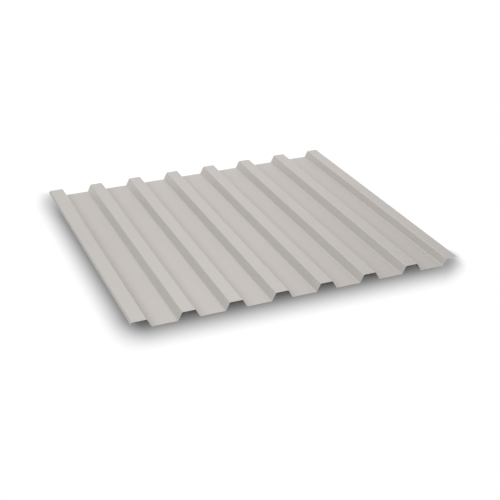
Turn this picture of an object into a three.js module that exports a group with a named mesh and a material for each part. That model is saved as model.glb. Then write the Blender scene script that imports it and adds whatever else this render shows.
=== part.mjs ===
import * as THREE from 'three';

// A corrugated metal sheet of the box-rib kind, with flat pans between raised crests.
// It is roll-formed as one piece from painted steel coil and sheared square at both ends.
// Millimetres. +X runs across the crests, +Y along them and +Z up.
// The origin is below the middle of the sheet, in the plane that the pans rest on.

// The strip that the sheet is formed from
const sheetLength = 1000;
const sheetThickness = 0.5;      // steel, zinc and paint together
const bendRadius = 3.5;          // on the inside of every bend

// The repeating section. Its widths are taken between the sharp corners where
// the flats of the middle plane would meet if the bends had no radius.
const coverWidth = 1000;         // from a sheet to its side-lapped neighbour
const panCount = 7;
const profileDepth = 25;         // from the pans up to the crests
const crestWidth = 40;
const webAngle = 63;             // degrees between a web and the pan beside it

// The left edge is a wide crest with a short lip. It goes over the neighbour's right edge.
const overlapCrestWidth = 44;
const overlapLipLength = 7;
const overlapLipAngle = 55;      // degrees below level

// The right edge is a narrow crest with a longer lip, and goes under the neighbour's left edge.
// It is lower than the other crests, so the neighbour's crest goes over it without lifting.
const underlapCrestWidth = 36.5;
const underlapDrop = 3;          // below the other crests
const underlapLipLength = 15;
const underlapLipAngle = 45;     // degrees below level

// Facets
const arcSegments = 3;           // an arc gets two facets for each of these

const crestPitch = coverWidth / panCount;
const underlapDepth = profileDepth - underlapDrop;

/** How far a web runs across the sheet while it rises to a height. */
function webRun(height) {
  return height / Math.tan(THREE.MathUtils.degToRad(webAngle));
}

/** The point at the end of a lip that starts at a corner and runs at a heading, in degrees. */
function lipEnd(corner, length, heading) {
  const angle = THREE.MathUtils.degToRad(heading);
  return new THREE.Vector2(Math.cos(angle), Math.sin(angle)).multiplyScalar(length).add(corner);
}

/**
 * The sharp corners of the section's middle plane, from the left lip to the right one.
 * x is measured from the centre of the first crest, and y is 0 in the pans.
 */
function sectionCorners() {
  const overlapCorner = new THREE.Vector2(crestWidth / 2 - overlapCrestWidth, profileDepth);
  const corners = [lipEnd(overlapCorner, overlapLipLength, 180 + overlapLipAngle), overlapCorner];

  for (let pan = 0; pan < panCount; pan += 1) {
    const leftShoulder = pan * crestPitch + crestWidth / 2;
    const rightFoot = (pan + 1) * crestPitch - crestWidth / 2 - webRun(profileDepth);
    const rightDepth = pan === panCount - 1 ? underlapDepth : profileDepth;
    corners.push(
      new THREE.Vector2(leftShoulder, profileDepth),
      new THREE.Vector2(leftShoulder + webRun(profileDepth), 0),
      new THREE.Vector2(rightFoot, 0),
      new THREE.Vector2(rightFoot + webRun(rightDepth), rightDepth),
    );
  }

  const underlapCorner = corners.at(-1).clone().add(new THREE.Vector2(underlapCrestWidth, 0));
  corners.push(underlapCorner, lipEnd(underlapCorner, underlapLipLength, -underlapLipAngle));
  return corners;
}

/**
 * The bend at a corner, where a flat that runs at one heading turns to the next.
 * Both faces of the strip turn about one centre, so its thickness stays the same round the bend.
 */
function bendAt(corner, before, after) {
  const headingIn = corner.clone().sub(before).angle();
  const headingOut = after.clone().sub(corner).angle();
  const turn = Math.atan2(Math.sin(headingOut - headingIn), Math.cos(headingOut - headingIn));
  const side = Math.sign(turn);                      // 1 turns up to the left, -1 down to the right
  const middleRadius = bendRadius + sheetThickness / 2;
  const middleHeading = headingIn + turn / 2;
  const centre = new THREE.Vector2(-Math.sin(middleHeading), Math.cos(middleHeading))
    .multiplyScalar(side * middleRadius / Math.cos(turn / 2))
    .add(corner);
  return {
    centre,
    side,
    startAngle: headingIn - side * Math.PI / 2,
    endAngle: headingOut - side * Math.PI / 2,
    topRadius: middleRadius - side * sheetThickness / 2,
    bottomRadius: middleRadius + side * sheetThickness / 2,
  };
}

/** The corner of a sheared edge, half a thickness to the left or right of the strip's heading. */
function shearedCorner(end, heading, offset) {
  return new THREE.Vector2(-Math.sin(heading), Math.cos(heading)).multiplyScalar(offset).add(end);
}

/** The closed outline of the section: over the top face to the right, and back along the underside. */
function sectionShape() {
  const corners = sectionCorners();
  const bends = corners.slice(1, -1).map((corner, i) => bendAt(corner, corners[i], corners[i + 2]));
  const first = corners.at(0);
  const last = corners.at(-1);
  const firstHeading = corners.at(1).clone().sub(first).angle();
  const lastHeading = last.clone().sub(corners.at(-2)).angle();
  const half = sheetThickness / 2;

  const shape = new THREE.Shape();
  const start = shearedCorner(first, firstHeading, -half);
  shape.moveTo(start.x, start.y);
  const topStart = shearedCorner(first, firstHeading, half);
  shape.lineTo(topStart.x, topStart.y);
  for (const { centre, side, startAngle, endAngle, topRadius } of bends) {
    shape.absarc(centre.x, centre.y, topRadius, startAngle, endAngle, side < 0);
  }
  for (const offset of [half, -half]) {
    const corner = shearedCorner(last, lastHeading, offset);
    shape.lineTo(corner.x, corner.y);
  }
  for (const { centre, side, startAngle, endAngle, bottomRadius } of bends.toReversed()) {
    shape.absarc(centre.x, centre.y, bottomRadius, endAngle, startAngle, side > 0);
  }
  shape.closePath();
  return shape;
}

const paintedSteel = new THREE.MeshStandardMaterial({
  name: 'painted_steel',
  color: new THREE.Color().setRGB(0.78, 0.76, 0.73, THREE.SRGBColorSpace),
  roughness: 0.45,
  metalness: 0,
});

const section = sectionShape();
const sectionBox = new THREE.Box2().setFromPoints(section.getPoints(arcSegments));
const sheet = new THREE.Mesh(
  new THREE.ExtrudeGeometry(section, {
    depth: sheetLength,
    curveSegments: arcSegments,
    bevelEnabled: false,
  }),
  paintedSteel,
);
sheet.name = 'corrugated_sheet';

// The section is drawn in X and Y and extruded along Z, so it is turned up to stand in X and Z.
sheet.rotation.x = Math.PI / 2;
sheet.position.set(
  -(sectionBox.min.x + sectionBox.max.x) / 2,
  sheetLength / 2,
  sheetThickness / 2,
);

const group = new THREE.Group();
group.name = 'corrugated_metal_sheet';
group.add(sheet);

export default group;
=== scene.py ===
# %% [markdown]
# # A corrugated metal sheet
#
# The real thing is one strip of painted steel, half a millimetre thick. A line of rollers folds
# it, a little more at each stand, until it has flat pans between raised crests, and a shear cuts
# it square at both ends. So this scene needs one piece, and its craft is in three places: a
# section that keeps its thickness round every bend, a surface that is almost but not quite flat,
# and a coil coating that looks like paint on metal and not like plastic.
#
# The measured model comes first, because everything else is placed by it. Lengths are in metres,
# as Blender and the measured model have them, unless a comment says otherwise.

import bpy
import numpy as np
from mathutils import Matrix, Vector


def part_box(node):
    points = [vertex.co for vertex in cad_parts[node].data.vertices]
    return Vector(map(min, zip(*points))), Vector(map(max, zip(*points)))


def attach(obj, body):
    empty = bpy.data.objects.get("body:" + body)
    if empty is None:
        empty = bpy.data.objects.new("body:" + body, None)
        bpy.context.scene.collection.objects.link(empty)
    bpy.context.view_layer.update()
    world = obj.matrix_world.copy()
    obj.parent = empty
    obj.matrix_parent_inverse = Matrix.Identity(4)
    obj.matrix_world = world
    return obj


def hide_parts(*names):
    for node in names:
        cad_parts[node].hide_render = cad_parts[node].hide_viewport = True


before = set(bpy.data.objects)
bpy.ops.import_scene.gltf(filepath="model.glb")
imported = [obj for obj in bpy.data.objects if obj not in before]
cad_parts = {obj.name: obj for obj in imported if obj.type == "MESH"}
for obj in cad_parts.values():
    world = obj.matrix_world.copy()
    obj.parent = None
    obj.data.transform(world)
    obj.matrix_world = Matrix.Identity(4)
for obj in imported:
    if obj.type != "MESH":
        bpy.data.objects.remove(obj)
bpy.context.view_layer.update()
sheet_low, sheet_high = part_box("corrugated_sheet")
print("measured sheet, metres:", [round(v, 4) for v in sheet_high - sheet_low])

# %% [markdown]
# ## The section
#
# A roll-former's drawing gives the section by its sharp corners and one bend radius. The corners
# are where the flats of the sheet's middle plane would meet if the metal could turn on the spot.
# The sizes below are that drawing. The two long edges differ: the left crest is wide and goes
# over its neighbour, and the right one is narrow, a little lower, and goes under.

# %% The drawing's sizes
SHEET_THICKNESS = 0.0005
INNER_RADIUS = 0.0035                          # on the hollow side of a bend
BEND_RADIUS = INNER_RADIUS + SHEET_THICKNESS / 2   # of the middle plane

COVER_WIDTH = 1.0                              # from a sheet to its side-lapped neighbour
PAN_COUNT = 7
PROFILE_DEPTH = 0.025
CREST_WIDTH = 0.040
WEB_ANGLE = np.radians(63)

OVERLAP_CREST_WIDTH = 0.044
OVERLAP_LIP = 0.007 * np.exp(1j * np.radians(180 + 55))   # to the left, and down at 55 degrees
UNDERLAP_CREST_WIDTH = 0.0365
UNDERLAP_DROP = 0.003                          # below the other crests
UNDERLAP_LIP = 0.015 * np.exp(1j * np.radians(-45))       # to the right, and down at 45 degrees

CREST_PITCH = COVER_WIDTH / PAN_COUNT
WEB_RUN = PROFILE_DEPTH / np.tan(WEB_ANGLE)


def section_corners():
    """
    The sharp corners as complex numbers, x across and z up, from the left lip to the right one.

    Every pan adds four corners: down the web from the crest on its left, and up the next web. The
    last web stops short, at the height of the lower crest.
    """
    left = np.arange(PAN_COUNT) * CREST_PITCH + CREST_WIDTH / 2
    right = left + CREST_PITCH - CREST_WIDTH
    crest = 1j * PROFILE_DEPTH
    pans = np.stack([left + crest, left + WEB_RUN, right - WEB_RUN, right + crest], axis=1).ravel()
    pans[-1] -= (WEB_RUN + crest) * UNDERLAP_DROP / PROFILE_DEPTH
    overlap_corner = CREST_WIDTH / 2 - OVERLAP_CREST_WIDTH + crest
    underlap_corner = pans[-1] + UNDERLAP_CREST_WIDTH
    return np.array([overlap_corner + OVERLAP_LIP, overlap_corner,
                     *pans,
                     underlap_corner, underlap_corner + UNDERLAP_LIP])


corners = section_corners()
print("corners:", len(corners), " flats:", len(corners) - 1, " bends:", len(corners) - 2)

# %% [markdown]
# ## From corners to a rounded line
#
# A bend could be left to a Bevel modifier, but that rounds the outside and the inside of a thin
# strip by the same radius, and leaves the corner about a sixth thicker than the flats. Real metal
# turns about one centre. So the middle line is rounded first, its direction is kept at every
# point, and both faces are found by stepping half a thickness to either side of it.
#
# Each flat also gets a point close to each of its ends. A smooth-shaded mesh blends its normals
# over whole faces, and these narrow faces keep that blend inside the bend.

# %% Round the middle line
ARC_STEPS = 8                                  # faces in a bend
FLAT_STEPS = 8                                 # faces on a flat, between its two narrow ones
BEND_GUARD = 0.0004                            # the narrow face beside each bend


def rounded_line(corners, radius):
    """
    The middle line's points, its heading at each one, and how much each belongs to a bend.

    A bend of angle a starts radius * tan(a / 2) before its corner. Its centre lies on the
    bisector, and its points turn about that centre in equal steps. A flat is a straight run
    between two bends, with a guard point near each end.
    """
    along = np.diff(corners)
    heading = np.angle(along)
    turn = np.angle(along[1:] / along[:-1])
    set_back = np.concatenate([[0], radius * np.tan(abs(turn) / 2), [0]])
    direction = np.exp(1j * heading)
    start = corners[:-1] + direction * set_back[:-1]
    length = abs(along) - set_back[:-1] - set_back[1:]

    inner = np.linspace(0, 1, FLAT_STEPS + 1)[1:-1]
    guard = (BEND_GUARD / length)[:, None]
    share = np.hstack([0 * guard, guard, guard + (1 - 2 * guard) * inner, 1 - guard, 1 + 0 * guard])
    flats = start[:, None] + direction[:, None] * length[:, None] * share

    step = np.linspace(0, 1, ARC_STEPS + 1)[1:-1]
    side = np.sign(turn)
    middle = heading[:-1] + turn / 2
    centre = corners[1:-1] + 1j * np.exp(1j * middle) * side * radius / np.cos(turn / 2)
    arc_heading = heading[:-1, None] + turn[:, None] * step
    arcs = centre[:, None] - 1j * np.exp(1j * arc_heading) * side[:, None] * radius

    def in_order(of_flats, of_arcs):
        """Flats and arcs by turns, as one row of values."""
        pairs = np.hstack([of_flats[:-1], of_arcs]).ravel()
        return np.concatenate([pairs, of_flats[-1]])

    flat_heading = np.broadcast_to(heading[:, None], flats.shape)
    bend = np.broadcast_to(np.sin(np.pi * step), arcs.shape)
    return in_order(flats, arcs), in_order(flat_heading, arc_heading), in_order(np.zeros(flats.shape), bend)


middle_line, heading, bend_amount = rounded_line(corners, BEND_RADIUS)
side_step = 1j * np.exp(1j * heading) * SHEET_THICKNESS / 2
outline = np.array([middle_line + side_step, middle_line - side_step])
CENTRE_X = (outline.real.min() + outline.real.max()) / 2
print("points across the sheet:", len(middle_line))

# %% [markdown]
# ## Almost flat
#
# Thin steel is never dead flat after rolling. The middle of a pan comes out a little longer than
# its edges, which the bends hold straight, so it swells in long, shallow waves that are called
# oil cans. They are a few tenths of a millimetre high, and they matter only because paint shows
# them in its reflections. A pan can only swell upwards, since the floor is below it. A crest
# sinks slightly instead.

# %% Swell the pans and settle the crests
PAN_SWELL = 0.00035
CREST_SINK = 0.00020
FIRST_CREST_CHANNEL = 11                       # crests take other waves than pans
half_length = (sheet_high - sheet_low).y / 2

# Each sine's wavelength, its weight, its start, and the turn that each next channel adds.
SINES = (
    (0.47, 0.50, 0.0, 2.1),
    (0.29, 0.30, 1.0, 3.7),
    (0.83, 0.20, 2.0, 1.3),
)


def wave(y, channel):
    """A slow wave along the sheet between 0 and 1: sines whose weights add up to 1, about a half."""
    total = sum(weight * np.sin(2 * np.pi * y / length + start + turn * channel)
                for length, weight, start, turn in SINES)
    return 0.5 + total / 2


def settle(x, y, z):
    """
    How far each point of the middle surface moves up or down.

    Across a pan the swell is a squared cosine, 1 in the middle and 0 at the web's foot. Across a
    crest the sink has the same form.
    """
    pan_number = np.round(x / CREST_PITCH - 0.5)
    from_pan = x - (pan_number + 0.5) * CREST_PITCH
    pan_half = CREST_PITCH / 2 - CREST_WIDTH / 2 - WEB_RUN
    pan = np.cos(np.pi / 2 * np.clip(from_pan / pan_half, -1, 1)) ** 2

    crest_number = np.round(x / CREST_PITCH)
    from_crest = x - crest_number * CREST_PITCH
    crest = np.cos(np.pi / 2 * np.clip(from_crest / (CREST_WIDTH / 2), -1, 1)) ** 2

    height = z / PROFILE_DEPTH
    return (PAN_SWELL * pan * wave(y, pan_number) * (1 - height)
            - CREST_SINK * crest * wave(y, crest_number + FIRST_CREST_CHANNEL) * height)


# %% [markdown]
# ## The sheet's surface
#
# The sheet is a grid: one parameter runs across the section and the other along the length. The
# top face and the underside are the same grid, half a thickness to either side.

# %% The grid of points
STATIONS = 66                                  # rows of points along the sheet


def sheet_grid(y):
    """
    The vertices, as an array of faces by stations by points across by x, y and z.

    A point is the middle line's, moved by settle, plus or minus half a thickness along the
    normal, which is the heading turned a quarter to the left. The whole sheet is raised by half a
    thickness, so that the pans lie on the floor.
    """
    face, y, across = np.meshgrid([1, -1], y, middle_line, indexing="ij")
    z = across.imag + settle(across.real, y, across.imag) + SHEET_THICKNESS / 2
    return np.stack([across.real + face * side_step.real - CENTRE_X, y, z + face * side_step.imag], axis=-1)


station_y = np.linspace(-half_length, half_length, STATIONS)
vertices = sheet_grid(station_y)
print("faces, stations, points across, and x, y and z:", vertices.shape)

# %% [markdown]
# ## Closing the strip
#
# Two faces make no solid. The strip closes with four narrow bands: the two sheared ends, and the
# two edges that the coil was slit to. A Solidify modifier could add the second face and the bands,
# but doing it here gives each band a bare metal finish. The corners of a face are listed
# anticlockwise as seen from outside, and that is what turns it outwards.

# %% The faces and their finishes
TOP, UNDERSIDE, CUT = 0, 1, 2


def quads(first, second):
    """The faces between two neighbouring rows of vertices, turned from the first to the second."""
    corners = [first[..., :-1], first[..., 1:], second[..., 1:], second[..., :-1]]
    return np.stack(corners, axis=-1).reshape(-1, 4)


def sheet_faces(stations, points):
    """The quads of the two faces and of the four cut bands, all turned outwards, with a finish for each."""
    top = np.arange(stations * points).reshape(stations, points)
    under = top + top.size
    faces = {
        TOP: [quads(top[:-1], top[1:])],
        UNDERSIDE: [quads(under[1:], under[:-1])],
        CUT: [quads(under[:1], top[:1]), quads(top[-1:], under[-1:]),
              quads(top[:, 0][None], under[:, 0][None]), quads(under[:, -1][None], top[:, -1][None])],
    }
    blocks = [(finish, block) for finish, group in faces.items() for block in group]
    finishes = np.concatenate([np.full(len(block), finish) for finish, block in blocks])
    return np.concatenate([block for _, block in blocks]), finishes


faces, finishes = sheet_faces(STATIONS, len(middle_line))
print("faces on the top, the underside and the cut bands:", np.bincount(finishes))

# %% [markdown]
# ## Into Blender
#
# Blender takes whole arrays, which is much faster than one vertex at a time. Smooth shading rounds
# the bends, and every edge that turns more sharply than they do stays crisp: the sheared ones.

# %% The mesh
SHARP_ANGLE = np.radians(40)


def new_mesh(name, vertices, faces):
    """A mesh object at the origin from an array of vertices and one of quads."""
    mesh = bpy.data.meshes.new(name)
    mesh.vertices.add(len(vertices))
    mesh.vertices.foreach_set("co", vertices.astype(np.float32).ravel())
    mesh.loops.add(faces.size)
    mesh.loops.foreach_set("vertex_index", faces.astype(np.int32).ravel())
    mesh.polygons.add(len(faces))
    mesh.polygons.foreach_set("loop_start", np.arange(0, faces.size, faces.shape[1], dtype=np.int32))
    mesh.update(calc_edges=True)
    mesh.validate()
    piece = bpy.data.objects.new(name, mesh)
    bpy.context.scene.collection.objects.link(piece)
    return piece


sheet = new_mesh("painted_sheet", vertices.reshape(-1, 3), faces)
sheet.data.polygons.foreach_set("material_index", finishes.astype(np.int32))
sheet.data.shade_smooth()
sheet.data.set_sharp_from_angle(angle=SHARP_ANGLE)
print("triangles:", 2 * len(faces))

# %% [markdown]
# ## What the finishes need to know
#
# A coating follows the strip and not the room: its streaks run along the coil, and the paint is
# stretched where the metal bends. Two attributes carry that. One is 1 in the middle of a bend and
# 0 on the flats. The other is the place in the unrolled strip: across it, along it and through
# its thickness. So a pattern runs over a bend without being squeezed, and the cut edge knows how
# deep it is below the paint.

# %% Store bend and place in the strip
def store(piece, name, values):
    """Writes one number, or one vector, for each vertex to a named attribute."""
    kind, field = ("FLOAT", "value") if values.ndim == 1 else ("FLOAT_VECTOR", "vector")
    attribute = piece.data.attributes.new(name, kind, "POINT")
    attribute.data.foreach_set(field, values.astype(np.float32).ravel())


across_strip = np.concatenate([[0], np.cumsum(abs(np.diff(middle_line)))])
through_strip = np.array([SHEET_THICKNESS / 2, -SHEET_THICKNESS / 2])
through, along, across = np.meshgrid(through_strip, station_y, across_strip, indexing="ij")
store(sheet, "strip_place", np.stack([across, along, through], axis=-1).reshape(-1, 3))
store(sheet, "bend", np.tile(bend_amount, 2 * STATIONS))

# %% [markdown]
# ## A way to write finishes
#
# A finish is a network of nodes, and most of them do plain arithmetic. Written node by node, that
# arithmetic is hard to read. The class below wraps a socket, so that `1 - mask` or `a * 0.3 + b`
# adds the Math nodes by itself.

# %% A socket that can be used in a sum
class Socket:
    """An output of a node that can be added, subtracted and multiplied in Python expressions."""

    def __init__(self, network, output):
        self.network = network
        self.output = output

    def math(self, operation, *values):
        """A Math node on these values, which are sockets or numbers."""
        return self.network.node("ShaderNodeMath", {"operation": operation}, dict(enumerate(values)))

    def __add__(self, other):
        return self.math("ADD", self, other)

    def __rsub__(self, other):
        return self.math("SUBTRACT", other, self)

    def __sub__(self, other):
        return self.math("SUBTRACT", self, other)

    def __mul__(self, other):
        return self.math("MULTIPLY", self, other)

    __radd__ = __add__
    __rmul__ = __mul__

    def spread(self, low, high, new_low=0.0, new_high=1.0, curve="LINEAR"):
        """The value carried from the range low to high onto a new range, and held inside it."""
        return self.network.node("ShaderNodeMapRange", {"clamp": True, "interpolation_type": curve},
                                 {"Value": self, "From Min": low, "From Max": high,
                                  "To Min": new_low, "To Max": new_high})

    def centred(self):
        """A pattern between 0 and 1, moved down to lie as much below 0 as above."""
        return self - 0.5


print("what a socket can do:", [name for name in vars(Socket) if callable(getattr(Socket, name))])

# %% [markdown]
# ## One method for all other nodes
#
# Every other node comes from one method, which takes its kind, its settings, and a value or a link
# for each socket. The short methods after it are the few nodes that these finishes share. A coat's
# patterns are all one noise, stretched along the coil by the number of patches in a metre.

# %% A network of nodes
NOISE_MIDDLE = (0.3, 0.7)                      # raw noise is seldom outside it


class Network:
    """The nodes of a material or of the world, with one method that adds a node and joins it up."""

    def __init__(self, owner, last):
        owner.use_nodes = True
        self.tree = owner.node_tree
        self.last = self.tree.nodes[last]

    def node(self, kind, settings, inputs, output=0):
        """Adds a node: first its settings, then a value or a link for each socket, by name or number."""
        node = self.tree.nodes.new(kind)
        for name, value in settings.items():
            setattr(node, name, value)
        self.feed(node, inputs)
        return Socket(self, node.outputs[output])

    def feed(self, node, inputs):
        """Gives each of a node's sockets its value or its link."""
        for name, value in inputs.items():
            if isinstance(value, Socket):
                self.tree.links.new(value.output, node.inputs[name])
            else:
                node.inputs[name].default_value = value

    def finish(self, **inputs):
        """Sets the last shader's sockets. Base_Color stands for Base Color."""
        self.feed(self.last, {name.replace("_", " "): value for name, value in inputs.items()})

    def ray(self, kind):
        """1 where the light path is of this kind, such as Is Camera Ray, and 0 elsewhere."""
        return self.node("ShaderNodeLightPath", {}, {}, kind)

    def in_view(self):
        """1 for what a camera sees, straight or in metal or glass, and 0 for all other light."""
        return self.ray("Is Camera Ray") + self.ray("Is Glossy Ray") + self.ray("Is Transmission Ray")

    def attribute(self, name, output="Fac"):
        """A named attribute of the mesh, as a number or as a vector."""
        return self.node("ShaderNodeAttribute", {"attribute_name": name}, {}, output)

    def parts(self, vector):
        """The three numbers of a vector."""
        return [self.node("ShaderNodeSeparateXYZ", {}, {0: vector}, axis) for axis in "XYZ"]

    def noise(self, across, along, through=0.0, detail=2.0, roughness=0.5):
        """
        A cloudy pattern on the strip, from the number of its patches per metre each way.

        The middle of the raw noise's range is spread from 0 to 1.
        """
        place = self.node("ShaderNodeVectorMath", {"operation": "MULTIPLY"},
                          {0: self.attribute("strip_place", "Vector"), 1: (across, along, through)})
        raw = self.node("ShaderNodeTexNoise", {"normalize": True},
                        {"Vector": place, "Scale": 1.0, "Detail": detail, "Roughness": roughness})
        return raw.spread(*NOISE_MIDDLE)

    def blend(self, amount, low, high):
        """A colour between two others. The Mix node keeps its colours in sockets 6 and 7."""
        return self.node("ShaderNodeMix", {"data_type": "RGBA"}, {0: amount, 6: low, 7: high}, 2)

    def bump(self, height, depth):
        """Tilts the shading by a height pattern, whose full range is the depth."""
        return self.node("ShaderNodeBump", {}, {"Strength": 1.0, "Distance": depth, "Height": height})


print("what a network can do:", [name for name in vars(Network) if callable(getattr(Network, name))])

# %% [markdown]
# ## Paint by its chart
#
# Paint is chosen from a chart, whose numbers run from 0 to 255 and are spaced as the eye sees them.
# Shaders count light instead, so each chart number is made linear first.

# %% A new finish and its colours
def new_finish(name):
    """A material and the network that ends in its Principled shader."""
    material = bpy.data.materials.new(name)
    return material, Network(material, "Principled BSDF")


def shade(red, green, blue):
    """A linear colour from the numbers of a paint chart, by the curve of the sRGB standard."""
    chart = np.array([red, green, blue]) / 255
    linear = np.where(chart <= 0.04045, chart / 12.92, ((chart + 0.055) / 1.055) ** 2.4)
    return (*(float(v) for v in linear), 1.0)


print("a grey of 128 on the chart sends back", round(shade(128, 128, 128)[0], 3), "of the light")

# %% [markdown]
# ## The top coat
#
# The face is coated on the flat coil, before forming, with a polyester paint in a warm light grey.
# A roller lays it on, so it has very faint streaks along the coil, a fine orange peel, and a satin
# gloss that varies by a few hundredths. Where the rollers bent it, the paint is stretched and a
# little glossier. All of these are small: the sheet should look plain, and only close up should
# it look painted.

# %% Top coat
GREY_LIGHT = shade(203, 198, 193)
GREY_DARK = shade(199, 194, 189)
SATIN = 0.43                                   # roughness of the flat coat
SATIN_CHANGE = 0.03                            # with the streaks, and again with the clouds
STRETCH_GLOSS = 0.06                           # what a bend takes off
PEEL_DEPTH = 0.00002                           # of the relief, for a peel from 0 to 1
CLOUD_TONE, STREAK_TONE, PEEL_TONE = 0.50, 0.35, 0.15   # shares of the tint
STREAK_RELIEF = 0.3                            # beside a peel of 1


def top_coat():
    """Clouds, streaks and peel together tint the paint. The peel and the streaks also tilt it."""
    material, paint = new_finish("top_coat")
    clouds = paint.noise(across=5, along=3, detail=3)
    streaks = paint.noise(across=160, along=1.5, detail=3)
    peel = paint.noise(across=1400, along=1100)
    tone = clouds * CLOUD_TONE + streaks * STREAK_TONE + peel * PEEL_TONE
    change = streaks.centred() * SATIN_CHANGE + clouds.centred() * SATIN_CHANGE
    paint.finish(
        Base_Color=paint.blend(tone, GREY_DARK, GREY_LIGHT),
        Roughness=SATIN + change - paint.attribute("bend") * STRETCH_GLOSS,
        Normal=paint.bump(peel + streaks * STREAK_RELIEF, PEEL_DEPTH),
    )
    return material


# %% [markdown]
# ## The backing coat
#
# The underside gets a thinner epoxy coat, a cooler and flatter grey, because nobody looks at it.
# The same roller streaks show more in it, as it is thin enough for the zinc below to tint it.

# %% Backing coat
BACKING_LIGHT = shade(196, 198, 196)
BACKING_DARK = shade(184, 187, 187)
MATT = 0.58                                    # roughness between the streaks
MATT_CHANGE = 0.04                             # what the streaks add
GRAIN_DEPTH = 0.000008                         # of the relief, for a grain from 0 to 1
THIN_CLOUD_TONE, THIN_STREAK_TONE, THIN_GRAIN_TONE = 0.3, 0.5, 0.2   # shares of the tint
THIN_STREAK_RELIEF = 0.5                       # beside a grain of 1


def backing_coat():
    """The same plan as the top coat, with more streaks, less relief and no gloss in the bends."""
    material, paint = new_finish("backing_coat")
    clouds = paint.noise(across=7, along=4, detail=3)
    streaks = paint.noise(across=220, along=2, detail=4, roughness=0.6)
    grain = paint.noise(across=900, along=700)
    tone = clouds * THIN_CLOUD_TONE + streaks * THIN_STREAK_TONE + grain * THIN_GRAIN_TONE
    paint.finish(
        Base_Color=paint.blend(tone, BACKING_DARK, BACKING_LIGHT),
        Roughness=MATT + streaks * MATT_CHANGE,
        Normal=paint.bump(grain + streaks * THIN_STREAK_RELIEF, GRAIN_DEPTH),
    )
    return material


# %% [markdown]
# ## The cut edge
#
# A shear leaves bare steel, half a millimetre wide. It is bright where the blade slid over it, in
# the upper third, and duller and rougher below, where the metal broke. The border between the two
# wanders a little. From a few steps away the edge is the thin light line that outlines every sheet.

# %% Cut edge
EDGE_BRIGHT = shade(214, 214, 212)
EDGE_DULL = shade(172, 172, 172)
SLID_DEPTH = 0.00017                           # below the top face
BORDER_HALF = 0.00003                          # half the width of the border between the zones
BORDER_WANDER = 0.00008                        # how far it moves up and down, in all
BROKEN = 0.50                                  # roughness of the broken zone
SLID_GLOSS = 0.18                              # what the slid zone takes off
GRAIN_CHANGE = 0.08                            # what the grain adds
SLID_TONE, TORN_TONE = 0.7, 0.3                # shares of the brightness
BARE_METAL = 0.9                               # the rest is dirt and oil


def cut_edge():
    """The place through the strip parts the edge into two zones, with a border that wanders."""
    material, steel = new_finish("cut_edge")
    _, _, height = steel.parts(steel.attribute("strip_place", "Vector"))
    wander = steel.noise(across=600, along=600).centred() * BORDER_WANDER
    border = SHEET_THICKNESS / 2 - SLID_DEPTH
    slid = (height + wander).spread(border - BORDER_HALF, border + BORDER_HALF)
    grain = steel.noise(across=9000, along=9000, through=12000, detail=3, roughness=0.6)
    steel.finish(
        Base_Color=steel.blend(slid * SLID_TONE + grain * TORN_TONE, EDGE_DULL, EDGE_BRIGHT),
        Metallic=BARE_METAL,
        Roughness=BROKEN - slid * SLID_GLOSS + grain * GRAIN_CHANGE,
    )
    return material


# %% [markdown]
# ## The sheet takes its place
#
# The finished sheet stands for the measured solid. It rides on the same body, the solid is hidden
# but still collides, and the sheet takes its finish from the slot that the record gives to it.

# %% Put the finishes on and join the frame
for coat in (top_coat(), backing_coat(), cut_edge()):   # numbered as TOP, UNDERSIDE and CUT are
    sheet.data.materials.append(coat)
    print("finish:", coat.name, " nodes:", len(coat.node_tree.nodes))

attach(sheet, "root")
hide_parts("corrugated_sheet")

# %% [markdown]
# ## The floor
#
# The sheet lies on a plain white floor that runs out of sight. A sheet this flat casts almost no
# shadow, so a shadow is painted on the floor for it: the camera sees a painted dark shade along
# the front and the left of the sheet, which fades to white over a hand's length. A card like that
# could be a mesh, but a painted pattern on the floor has no edge, and its fade can differ from
# side to side.

# %% Where the shade is painted on the floor
# Each side of a patch: the way that it faces, in degrees from +X towards +Y, and how far inside
# the sheet's outline it starts and is full. Less than 0 is outside the outline. The two diagonals
# run about from the back left corner to the front right one, and make one side with a long foot.
# The patch of painted shade.
PAINTED_SHADE_SIDES = {
    "left": (0, -0.080, 0.050),
    "front": (90, -0.140, 0.065),
    "front right corner": (141, -0.045, 0.035),
    "right": (175, -0.040, 0.010),
    "steep diagonal": (228, 0.650, 0.690),
    "gentle diagonal": (228, 0.530, 0.850),
    "back left corner": (330, -0.080, 0.010),
}
# The floor under the sheet, which keeps its pale colour to the camera and shows no painted dark.
COVERED_SIDES = {
    "left": (0, 0.000, 0.060),
    "front": (90, -0.005, 0.085),
    "right": (180, 0.025, 0.065),
    "back": (270, 0.000, 0.020),
}
half_width = (sheet_high - sheet_low).x / 2


def soft_patch(x, y, sides):
    """
    A patch of 1 that falls softly to 0 past each of its sides.

    A side is a smooth step along the way that it faces. Its distances count from the edge or the
    corner of the sheet that lies furthest back along that way. The patch is the product of all
    the steps.
    """
    patch = 1.0
    for facing, start, full in sides.values():
        toward = np.exp(1j * np.radians(facing))
        reach = half_width * abs(toward.real) + half_length * abs(toward.imag)
        inward = x * toward.real + y * toward.imag
        patch = inward.spread(start - reach, full - reach, curve="SMOOTHSTEP") * patch
    return patch


print("sides of the shade:", list(PAINTED_SHADE_SIDES))
print("sides of the covered floor:", list(COVERED_SIDES))

# %% [markdown]
# ## The floor's finish
#
# The floor beyond the painted shade is white because it is lit from within, and only cameras and
# reflections see that. On matte surfaces it sheds no light. To the light that bounces about the
# room, and to a camera that looks in under the crests, the floor is a pale card. Beside the sheet
# a camera sees a painted dark colour instead, and the white from within covers it except in the
# painted shade. Only on the left is a painted dark strip dark to all light, so that it takes the
# bounced light off the turned-down lip, or the lip would come out as light as its crest.

# %% Floor
FLOOR_HALF = 12.0                              # from the middle of the floor to each side
FLOOR_PALE = (0.95, 0.95, 0.95, 1)
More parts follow.
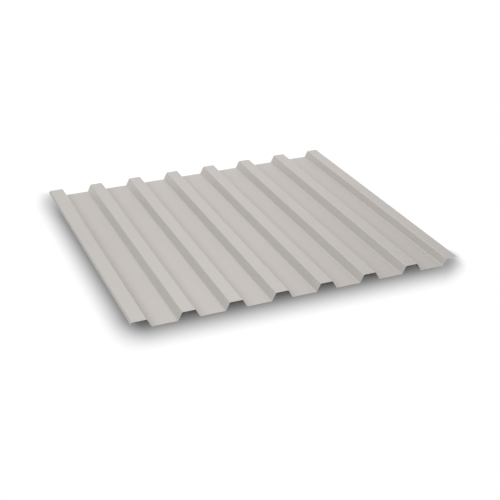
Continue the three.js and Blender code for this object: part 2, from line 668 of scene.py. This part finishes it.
# the colour of the painted shade, and of the painted dark strip on the left
PAINTED_SHADE_DARK = (0.03, 0.03, 0.03, 1)
WHITE = (1, 1, 1, 1)
BLACK = (0, 0, 0, 1)
FLOOR_ROUGHNESS = 0.9
# where the painted dark strip beside the sheet's left edge starts and where it is full
PAINTED_STRIP_START, PAINTED_STRIP_FULL = 0.003, 0.013           # outside the sheet's left edge


def white_floor():
    """The floor's finish: pale under the sheet, with a painted shade around it, and lifted to white beyond.
    """
    material, card = new_finish("floor_paint")
    x, y, _ = card.parts(card.node("ShaderNodeTexCoord", {}, {}, "Object"))
    # painted shade: where it is 1, the white from within is held back and the painted dark colour shows
    painted_shade = soft_patch(x, y, PAINTED_SHADE_SIDES)
    covered = soft_patch(x, y, COVERED_SIDES)
    # a painted dark strip on the floor beside the sheet's left edge, dark to all light
    beside = x.spread(-half_width - PAINTED_STRIP_START, -half_width - PAINTED_STRIP_FULL)
    # painted shade colour: dark to the camera outside the floor under the sheet, and to all light in the
    # left strip
    painted_dark = (1 - covered) * card.ray("Is Camera Ray") + beside
    card.finish(
        Base_Color=card.blend(painted_dark, FLOOR_PALE, PAINTED_SHADE_DARK),
        Roughness=FLOOR_ROUGHNESS,
        Specular_IOR_Level=0.0,
        Emission_Color=card.blend((1 - painted_shade) * card.in_view(), BLACK, WHITE),
        Emission_Strength=1.0,
    )
    return material


square = np.array([[-1, -1, 0], [1, -1, 0], [1, 1, 0], [-1, 1, 0]]) * FLOOR_HALF
floor = new_mesh("floor", square, np.array([[0, 1, 2, 3]]))
floor.data.materials.append(white_floor())
print("floor:", FLOOR_HALF * 2, "m square")

# %% [markdown]
# ## Light
#
# A white room and two soft boxes. The room gives more than half of the light, from all round, so
# no side of the sheet goes dark. One box stands high behind the sheet, and makes the flats lighter
# than the webs that face left. The other stands lower at the left. It keeps those webs from going
# dull, and since each crest holds it off the pan beyond, it draws a soft shade along the right
# foot of every crest. The high box is a little warm and the left one a little cool, so the webs
# look greyer than the flats.
#
# The room is a world colour. Cameras and reflections see it as white, and the light that it sheds
# on matte surfaces is turned down, so that a colour comes out about as it is written.

# %% Lamps and room
BOX_DISTANCE = 3.2                             # from the middle of the sheet
BOX_SIZE = 1.2                                 # each side of its square
WARM = (1.000, 0.943, 0.915)
COOL = (0.913, 0.971, 1.000)
ROOM_LIGHT = 0.495                             # where 1 is white


def soft_box(name, azimuth, elevation, power, colour):
    """
    A square area lamp that faces the sheet from a fixed distance, with its power in watts.

    The azimuth turns from +Y towards +X and the elevation rises from the floor, in degrees.
    """
    azimuth, elevation = np.radians((azimuth, elevation))
    reach = np.cos(elevation)
    toward = Vector((reach * np.sin(azimuth), reach * np.cos(azimuth), np.sin(elevation)))
    lamp = bpy.data.objects.new(name, bpy.data.lights.new(name, "AREA"))
    lamp.data.size = BOX_SIZE
    lamp.data.energy = power
    lamp.data.color = colour
    lamp.location = toward * BOX_DISTANCE
    lamp.rotation_euler = toward.to_track_quat("Z", "Y").to_euler()   # its light leaves along -Z
    bpy.context.scene.collection.objects.link(lamp)


soft_box("high_box", azimuth=20, elevation=50, power=29.0, colour=WARM)
soft_box("left_box", azimuth=250, elevation=35, power=21.5, colour=COOL)

world = bpy.data.worlds.new("white_room")
bpy.context.scene.world = world
room = Network(world, "Background")
room.finish(Color=WHITE, Strength=room.in_view().spread(0, 1, ROOM_LIGHT, 1))

# %% [markdown]
# ## The camera
#
# The camera stands about three metres in front of the middle of the sheet and a metre to the left,
# one and a half metres high. Its turn could be written as three angles. A place, a point to look
# at and a small roll are easier to picture, and Blender works the turn out from them. A long lens
# keeps the crests nearly parallel.

# %% Camera
EYE = Vector((-1.1609, -2.9293, 1.4763))
AIM = Vector((-0.0341, -0.1658, 0.0))          # the point of the floor in the middle of its view
ROLL = np.radians(-0.482)                      # less than 0 is clockwise, seen from behind it
LENS = 75.56                                   # focal length in millimetres
SENSOR_WIDTH = 36                              # in millimetres too

camera = bpy.data.objects.new("camera", bpy.data.cameras.new("camera"))
camera.data.lens = LENS
camera.data.sensor_width = SENSOR_WIDTH
look = (AIM - EYE).to_track_quat("-Z", "Y").to_matrix()   # a camera looks along its own -Z
camera.matrix_world = Matrix.Translation(EYE) @ look.to_4x4() @ Matrix.Rotation(ROLL, 4, "Z")
bpy.context.scene.collection.objects.link(camera)
bpy.context.scene.camera = camera
bpy.context.scene.view_settings.view_transform = "Standard"
print("camera from the point that it looks at, metres:", round((AIM - EYE).length, 2))

# %% [markdown]
# ## The size of the sheet
#
# The finished sheet has to fill the same box as the measured one.
